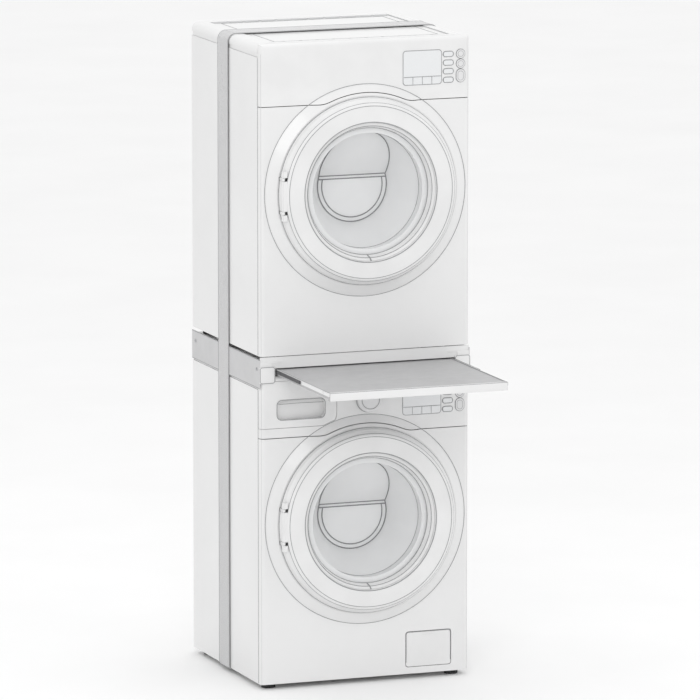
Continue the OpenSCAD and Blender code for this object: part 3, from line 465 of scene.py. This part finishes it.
def dress_front(m):
    """Painted shade lines at the collar's foot, round the controls and between the display's keys, and round
    each button's dished face.
    """
    at, tag = m.at, m.tag
    # A dark ring at the foot of the door collar: painted shade.
    piece(tag + "_collar_shade_line", tube(arc(at, COLLAR_LINE_R, SHADE_LINE_Y), 0.8, closed=True), "root", "grey_rubber")
    lines = []
    y = m.middle(tag + "_display")[1]
    x, z, w, h = DISPLAY
    lines.append(tube(rounded_path(at, x, SHADE_LINE_Y, z, w + 1.4, h + 1.4, 8), 1.0, closed=True))
    bottom, key_top = z - h / 2, z - h / 2 + 20.6
    lines.append(tube([at(x - w / 2 + 1, y, key_top), at(x + w / 2 - 1, y, key_top)], 0.6))
    for i in (-1, 0, 1):
        lines.append(tube([at(x + i * w / 4, y, bottom + 1), at(x + i * w / 4, y, key_top)], 0.6))
    for i in range(4):
        lens_z = CAB_H - LENS_TOP - LENS_PITCH * i
        lines.append(tube(rounded_path(at, LENS_X, SHADE_LINE_Y, lens_z, 29, 14, 6.9), 1.3, closed=True))
    for name in BUTTONS:
        x, _, z, w, h = m.middle(f"{tag}_{name}")
        lines.append(tube(rounded_path(at, x, SHADE_LINE_Y, z, w + 1.8, h + 1.8, (w + 1.7) / 2), 0.7, closed=True))
    # Dark outlines round the display, lenses and buttons, and between the display's keys: painted shade in
    # the gaps.
    piece(tag + "_control_shade_lines", lines, "root", "grey_rubber")
    for name in BUTTONS:
        x, y, z, w, h = m.middle(f"{tag}_{name}")
        dish = rounded_path(at, x, y, z, w * 0.66, h * 0.66 + (h - w) * 0.2, w * 0.32)
        # A dark ring round each button's dished face: painted shade.
        piece(f"{tag}_{name}_ring", tube(dish, 0.5, closed=True), f"{tag}_{name}", "grey_rubber")


def dress_edges(m):
    """Painted shade lines in the seams where the front panels meet the cabinet's sides, and along their
    rounded front corners.
    """
    at, half = m.at, CAB_W / 2
    seam_shade_tubes, corners = [], []
    for s in (-1, 1):
        seam_shade_tubes.append(tube([at(s * half, 18.5, z) for z in (17, 300, 600, 812)], 0.9))
        corners.append(tube([at(s * (half - 3.6), 3.6, z) for z in (17, 300, 600, 824)], 0.5))
    # Dark lines in the side seams and on the rounded front corners: painted shade.
    piece(m.tag + "_seam_shade_lines", seam_shade_tubes, "root", "grey_rubber")
    piece(m.tag + "_corner_shade_lines", corners, "root", "grey_plastic")


def dress_rear(m):
    """A pressed border with three ribs, vents drawn as dark slots of painted shade, screws and a mains inlet
    on the rear panel.
    """
    at, y = m.at, CAB_D
    outlines = ((520, 740), (500, 720))
    border = [tube(rounded_path(at, 0, y, 440, w, h, 24), 2.2, closed=True) for w, h in outlines]
    for z in (150, 190, 230):
        border.append(tube([at(-200, y, z), at(0, y, z), at(200, y, z)], 2.4))
    piece(m.tag + "_rear_pressing", border, "root", "white_steel")
    # The vents are dark blocks on the panel: painted shade for their openings.
    vent_shade_slots = []
    for row in range(3):
        for i in range(11):
            x, z = -195 + 30 * i, 690 + 34 * row
            vent_shade_slots.append(block(at(x - 2.2, y - 0.4, z - 12), at(x + 2.2, y + 0.5, z + 12), 0.4))
    piece(m.tag + "_rear_vent_shade", vent_shade_slots, "root", "dark_plastic")
    heads = []
    head = [(0.01, -0.5), (4.2, -0.5), (4.2, 0.6), (3.2, 1.7), (0.01, 2.1)]
    for sx in (-1, 1):
        for z in (60, 250, 440, 630, 800):
            heads.append(lathe(at(sx * 282, y, z), head, segments=20))
    piece(m.tag + "_rear_screws", heads, "root", "zinc")
    socket = [block(at(-262, y - 0.5, 745), at(-214, y + 4, 795), 2),
              block(at(-254, y + 3, 753), at(-222, y + 5, 787), 0.8)]
    piece(m.tag + "_mains_inlet", socket, "root", "dark_plastic")


def dress_feet(m):
    """A lock nut and ribs on each levelling foot."""
    parts, ribs_and_shade_lines = [], []
    nut = [(5.1, 10.2), (10.5, 10.2), (11, 10.8), (11, 13.6), (10.5, 14.2), (5.1, 14.2)]
    for sx in (-1, 1):
        for y in (FOOT_IN_Y, CAB_D - FOOT_IN_Y):
            foot = m.at(sx * (CAB_W / 2 - FOOT_IN_X), y, 0)
            parts.append(lathe(foot, nut, "Z", 6))
            for z in (2.4, 5.2, 8):
                rib = [(16, z - 0.8), (18.6, z - 0.8), (18.9, z), (18.6, z + 0.8), (16, z + 0.8)]
                ribs_and_shade_lines.append(lathe(foot, rib, "Z", 48))
    piece(m.tag + "_foot_nuts", parts, "root", "zinc")
    piece(m.tag + "_foot_ribs", ribs_and_shade_lines, "root", "rubber")


# The dark grey of the lines painted along the glass bowl's edges: painted shade.
BOWL_EDGE_SHADE = moulded("bowl edge shade", (0.24, 0.245, 0.25), 0.25)
WASHER, DRYER = Machine("washer"), Machine("dryer")
for machine in (WASHER, DRYER):
    dress_door(machine)
    dress_front(machine)
    dress_edges(machine)
    dress_rear(machine)
    dress_feet(machine)


# ---- The washer's own pieces ----

POCKET = (-182.5, 758)


def gasket_bellows():
    """The folds of the door gasket, shown in place of the part's own."""
    outline = [(198, -15), (204.6, -15), (204.6, 17), (202, 22), (204, 27), (200, 33), (200, 50), (191, 50),
               (191, 57.5), (186.2, 57.5), (186.2, 44), (195, 44), (195, 35), (192.5, 30), (197, 26),
               (194, 20), (198, 15)]
    bellows = piece("gasket_bellows", lathe(WASHER.at(0, 0, DOOR_Z), outline), "root", "grey_rubber")
    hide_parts("door_gasket")


def painted_hole_shade():
    """Rows of dark discs on the drum's inner wall, painted shade for its holes. They do not go through."""
    lo, hi = (Vector(p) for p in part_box("washer_drum"))
    middle, wall, hole_shade_discs = (lo + hi) / 2, (hi.z - lo.z) / 2 - 0.0017, []
    for row in range(13):
        for i in range(90):
            t = math.radians(4 * i + 2 * (row % 2))
            out, along = Vector((math.cos(t), 0, math.sin(t))), Vector((-math.sin(t), 0, math.cos(t)))
            centre = Vector((middle.x, lo.y + 0.04 + 0.017 * row, middle.z)) + out * wall
            rim = [centre + (along * math.cos(a) + Vector((0, math.sin(a), 0))) * 0.0021
                   for a in (math.pi * k / 4 for k in range(8))]
            hole_shade_discs += [rim, [p + out * 0.0006 for p in rim]]
    mesh = bpy.data.meshes.new("holes")
    verts = [tuple(p) for rim in hole_shade_discs for p in rim]
    faces = []
    for i in range(0, len(verts), 16):
        faces += [tuple(range(i, i + 8)), tuple(range(i + 15, i + 7, -1))]
        faces += [(i + k, i + (k + 1) % 8, i + 8 + (k + 1) % 8, i + 8 + k) for k in range(8)]
    mesh.from_pydata(verts, [], faces)
    # The dark discs are painted shade for the holes.
    piece("painted_hole_shade", mesh, "washer_drum", "dark_plastic")


def knob_grip():
    """The knob's fluted grip, and the ring and pointer line on its face."""
    x, y, z, w, _ = WASHER.middle("program_knob")
    r = w / 2
    grip = [(r - 3, 4), (r + 0.3, 4), (r + 0.3, 11), (r - 1, 13), (r - 3, 13)]
    fluted = lathe(WASHER.at(x, y, z), grip, segments=288, waves=48, depth=0.5)
    piece("knob_grip", fluted, "knob", "white_plastic")
    face = WASHER.at(x, y - 0.1, z)
    q = r - 9
    ring = [(q - 0.8, 0.4), (q - 0.4, -0.4), (q + 0.4, -0.4), (q + 0.8, 0.4)]
    pointer = [WASHER.at(x, y - 0.1, z + r - 10), WASHER.at(x, y - 0.1, z + r - 4)]
    piece("knob_ring", [lathe(face, ring, segments=96), tube(pointer, 0.9)], "knob", "grey_rubber")


def drawer_lines():
    """Painted shade lines round the knob's seat, and along the rim and inner lip of the drawer's finger
    pocket.
    """
    x, _, z, w, _ = WASHER.middle("program_knob")
    seat_r, turns = w / 2 + 1.6, [t / 36 for t in range(226)]
    seat = [WASHER.at(x + seat_r * math.cos(t), SHADE_LINE_Y, z + seat_r * math.sin(t)) for t in turns]
    # A dark ring in the gap round the knob: painted shade.
    piece("knob_seat_shade", tube(seat, 0.8, closed=True), "root", "grey_rubber")
    x, z = POCKET
    lip = [WASHER.at(x - 64, 1.5, z + 16), WASHER.at(x, 1.5, z + 17), WASHER.at(x + 64, 1.5, z + 16)]
    rim = [tube(rounded_path(WASHER.at, x, SHADE_LINE_Y, z, 137, 54, 14), 0.9, closed=True), tube(lip, 0.8)]
    # Dark lines at the pocket's rim and lip: painted shade in the recess.
    piece("pocket_shade_lines", rim, "drawer", "grey_rubber")


def flap_line():
    """A painted shade line round the flap's top and sides, and its finger pull. Both ride on the flap."""
    x, y, z, w, h = WASHER.middle("service_flap")
    top_half = rounded_path(WASHER.at, x, -0.1, z, w - 1.8, h - 1.8, 6.5)[:18]
    side, low = w / 2 - 0.9, z - h / 2 + 12
    path = [WASHER.at(x + side, -0.1, low), *top_half, WASHER.at(x - side, -0.1, low)]
    # A dark line in the flap's gap: painted shade.
    piece("flap_shade_line", tube(path, 0.8), "service_flap", "grey_rubber")
    pull = block(WASHER.at(x - 16, y - 0.8, z + h / 2 - 9), WASHER.at(x + 16, y + 0.5, z + h / 2 - 5), 0.6)
    piece("flap_pull", pull, "service_flap", "white_plastic")


gasket_bellows()
painted_hole_shade()
knob_grip()
drawer_lines()
flap_line()


# ---- Top cover, shelf and strap ----

def top_pads():
    """Rows of pads along the front and rear of the dryer's top, and painted shade lines round its recess."""
    at, pads, z = DRYER.at, [], CAB_H - 2.6
    for i in range(11):
        x = -252 + 46.5 * i
        for y in (47, 494):
            pads.append(block(at(x, y, z), at(x + 38, y + 9, z + 1.9), 0.8))
    piece("top_pads", pads, "root", "grey_plastic")
    shade_lines = []
    for inset, y0, y1 in ((0, 44, 507), (24, 66, 484)):
        x = 256.5 - inset
        for a, b in (((x, y0), (x, y1)), ((x, y1), (-x, y1)), ((-x, y1), (-x, y0)), ((-x, y0), (x, y0))):
            shade_lines.append(tube([at(*a, z), at(*b, z)], 0.9))
    # Dark lines round the recess: painted shade.
    piece("top_shade_lines", shade_lines, "root", "grey_rubber")


def shelf_nosing():
    """The rounded strip on the shelf's front edge, and painted shade lines along its front and side edges."""
    lo, hi = (Vector(p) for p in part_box("pull_out_shelf"))
    nose_lo = (lo.x + 0.0005, lo.y - 0.0008, lo.z - 0.0003)
    nose_hi = (hi.x - 0.0005, lo.y + 0.0125, hi.z + 0.0004)
    nose = block(nose_lo, nose_hi, 1.2)
    piece("shelf_nosing", nose, "shelf", "white_plastic")
    x0, x1, back, top = lo.x + 0.001, hi.x - 0.001, hi.y - 0.001, hi.z
    path = [Vector(p) for p in ((x0, back, top), (x0, lo.y, top), (x1, lo.y, top), (x1, back, top))]
    # Dark lines along the shelf's edges: painted shade.
    piece("shelf_edge_shade", [tube([a, b], 0.9) for a, b in zip(path, path[1:])], "shelf", "grey_rubber")


def strap_webbing():
    """The strap as a woven sheet, 80 mm wide, pulled tight round both machines."""
    lo, hi = (Vector(p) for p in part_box("strap"))
    thick, step = 0.002, 0.018
    x0, x1, z0, z1 = lo.x + thick / 2, hi.x - thick / 2, lo.z + thick / 2, hi.z - thick / 2
    corners = [(x1, z1, 0, 0.023), (x0, z1, 1, 0.023), (x0, z0, 2, 0.003), (x1, z0, 3, 0.003)]
    line = []
    for cx, cz, quarter, r in corners:
        ox, oz = cx + (r if cx == x0 else -r), cz + (r if cz == z0 else -r)
        for i in range(9):
            t = math.radians(90 * quarter + 90 * i / 8)
            line.append((ox + r * math.cos(t), oz + r * math.sin(t), math.cos(t), math.sin(t)))
    path = []
    for a, b in zip(line, line[1:] + line[:1]):
        count = max(1, int(math.dist(a[:2], b[:2]) / step))
        path += [tuple(p + (q - p) * i / count for p, q in zip(a, b)) for i in range(count)]
    length = sum(math.dist(a[:2], b[:2]) for a, b in zip(path, path[1:] + path[:1]))
    rows = []
    for x, z, nx, nz in path:
        size = math.hypot(nx, nz)
        row = []
        for side in (1, -1):
            for i in range(25):
                u = (i / 24 - 0.5) * side
                half = thick / 2 * (0.97 if abs(u) > 0.44 else 0.8 + 0.14 * math.cos(u * 50))
                half = half * 0.45 if abs(u) == 0.5 else half
                y = (lo.y + hi.y) / 2 + u * (hi.y - lo.y)
                row.append((x + nx / size * half * side, y, z + nz / size * half * side))
        rows.append(row)
    strap = piece("strap_webbing", skin(rows, wrap_rows=True), "root", "webbing")
    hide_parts("strap")
    # Dark lines along both edges of the strap: painted shade.
    edges = []
    for y in (lo.y + 0.0009, hi.y - 0.0009):
        edge = []
        for x, z, nx, nz in path:
            size = math.hypot(nx, nz)
            edge.append(Vector((x + nx / size * 0.0007, y, z + nz / size * 0.0007)))
        edges.append(tube(edge, 0.7, closed=True))
    edge_shade = piece("strap_edge_shade", edges, "root", "grey_rubber")


def bracket_lines():
    """A thin painted shade line along the edges of each corner bracket and of the side bands."""
    lo, hi = ((Vector(p) - WASHER.origin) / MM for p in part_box("corner_brackets"))
    middle_z, height, lines = (lo.z + hi.z) / 2, hi.z - lo.z, []
    for s in (-1, 1):
        edge = rounded_path(WASHER.at, s * (hi.x - 21), lo.y, middle_z, 41, height - 1, 6)
        lines.append(tube(edge, 0.9, closed=True))
    piece("bracket_edge_shade", lines, "root", "grey_rubber")
    lo, hi = ((Vector(p) - WASHER.origin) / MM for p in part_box("side_bands"))
    lines = []
    for s in (-1, 1):
        for z in (lo.z + 1, hi.z - 1):
            lines.append(tube([WASHER.at(s * hi.x, y, z) for y in (lo.y + 1, 200, hi.y - 1)], 0.8))
    piece("band_edge_shade", lines, "root", "grey_rubber")


def ratchet_parts():
    """Bolts, pawl rib and stitching at the strap's ratchet."""
    lo, hi = (Vector(p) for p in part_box("strap_ratchet"))
    middle, bolts = (lo + hi) / 2, []
    for y, turn in ((lo.y, -1), (hi.y, 1)):
        for z in (lo.z + 0.02, hi.z - 0.02):
            outline = [(0.01, 0), (5, 0), (5, turn * 1.4), (3.8, turn * 2.4), (0.01, turn * 2.6)]
            bolts.append(lathe(Vector((middle.x, y, z)), outline, segments=24))
    piece("ratchet_bolts", bolts, "root", "zinc")
    stitches = []
    for row in (-1, 1):
        for i in range(9):
            y, z = middle.y + row * 0.022, lo.z - 0.012 - 0.006 * i
            stitch_lo = (lo.x - 0.0004, y - 0.0006, z - 0.002)
            stitch_hi = (lo.x + 0.0014, y + 0.0006, z + 0.002)
            stitches.append(block(stitch_lo, stitch_hi, 0.3))
    piece("strap_stitches", stitches, "root", "webbing")
    lo, hi = (Vector(p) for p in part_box("ratchet_handle"))
    ribs_and_shade_lines = []
    for i in range(8):
        z = lo.z + (hi.z - lo.z) * (0.55 + 0.05 * i)
        rib_lo = (hi.x - 0.0012, lo.y + 0.006, z - 0.0015)
        rib_hi = (hi.x + 0.0006, hi.y - 0.006, z + 0.0015)
        ribs_and_shade_lines.append(block(rib_lo, rib_hi, 0.5))
    piece("handle_ribs", ribs_and_shade_lines, "ratchet_handle", "dark_plastic")


top_pads()
bracket_lines()
ratchet_parts()
shelf_nosing()
strap_webbing()


# ---- Camera, light and floor ----

def box_centre(node):
    lo, hi = (Vector(p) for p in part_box(node))
    return (lo + hi) / 2


def aim_camera():
    """A long lens, to the left of the stack and a little above its middle."""
    azimuth, elevation, distance = math.radians(-20.6), math.radians(9.55), 20.0
    back = Vector((math.sin(azimuth) * math.cos(elevation), -math.cos(azimuth) * math.cos(elevation),
                   math.sin(elevation)))
    right = Vector((math.cos(azimuth), math.sin(azimuth), 0))
    up = back.cross(right)
    middle = box_centre("washer_top_cover")
    aim = Vector((middle.x, middle.y - 0.035, middle.z + 0.032)) + right * 0.0456 + up * 0.0043
    data = bpy.data.cameras.new("camera")
    data.sensor_width, data.lens = 36.0, 381.0
    data.clip_end = 100
    camera = bpy.data.objects.new("camera", data)
    bpy.context.scene.collection.objects.link(camera)
    camera.location = aim + back * distance
    camera.rotation_mode = "QUATERNION"
    camera.rotation_quaternion = (-back).to_track_quat("-Z", "Y")
    bpy.context.scene.camera = camera


def area_light(name, place, target, size, power):
    data = bpy.data.lights.new(name, "AREA")
    data.shape, data.size, data.energy = "DISK", size, power
    lamp = bpy.data.objects.new(name, data)
    bpy.context.scene.collection.objects.link(lamp)
    lamp.location = place
    lamp.rotation_mode = "QUATERNION"
    lamp.rotation_quaternion = (Vector(target) - Vector(place)).to_track_quat("-Z", "Y")


def light_studio():
    world = bpy.data.worlds.new("studio")
    bpy.context.scene.world = world
    world.use_nodes = True
    backdrop = world.node_tree.nodes["Background"]
    backdrop.inputs["Color"].default_value = (1, 1, 1, 1)
    backdrop.inputs["Strength"].default_value = 1.0
    area_light("key", (-2.2, -4.2, 3.6), (0, 0, 0.9), 2.2, 40)
    area_light("fill", (3.6, -3.0, 2.0), (0, 0, 0.9), 2.5, 8)
    area_light("top", (0, 0.4, 4.5), (0, 0, 0.9), 2.5, 14)
    bpy.context.scene.view_settings.view_transform = "Standard"


def lay_floor():
    half = 30.0
    mesh = bpy.data.meshes.new("floor")
    corners = [(-half, -half, 0), (half, -half, 0), (half, half, 0), (-half, half, 0)]
    mesh.from_pydata(corners, [], [(0, 1, 2, 3)])
    floor = bpy.data.objects.new("floor", mesh)
    bpy.context.scene.collection.objects.link(floor)
    made = Finish("floor", (0.93, 0.93, 0.93), 0.8)
    made.vary_colour(made.ranged(made.noise(2, 3), 0, 1, (0.3, 0.7)), (0.91, 0.91, 0.91))
    mesh.materials.append(made.mat)


aim_camera()
light_studio()
lay_floor()
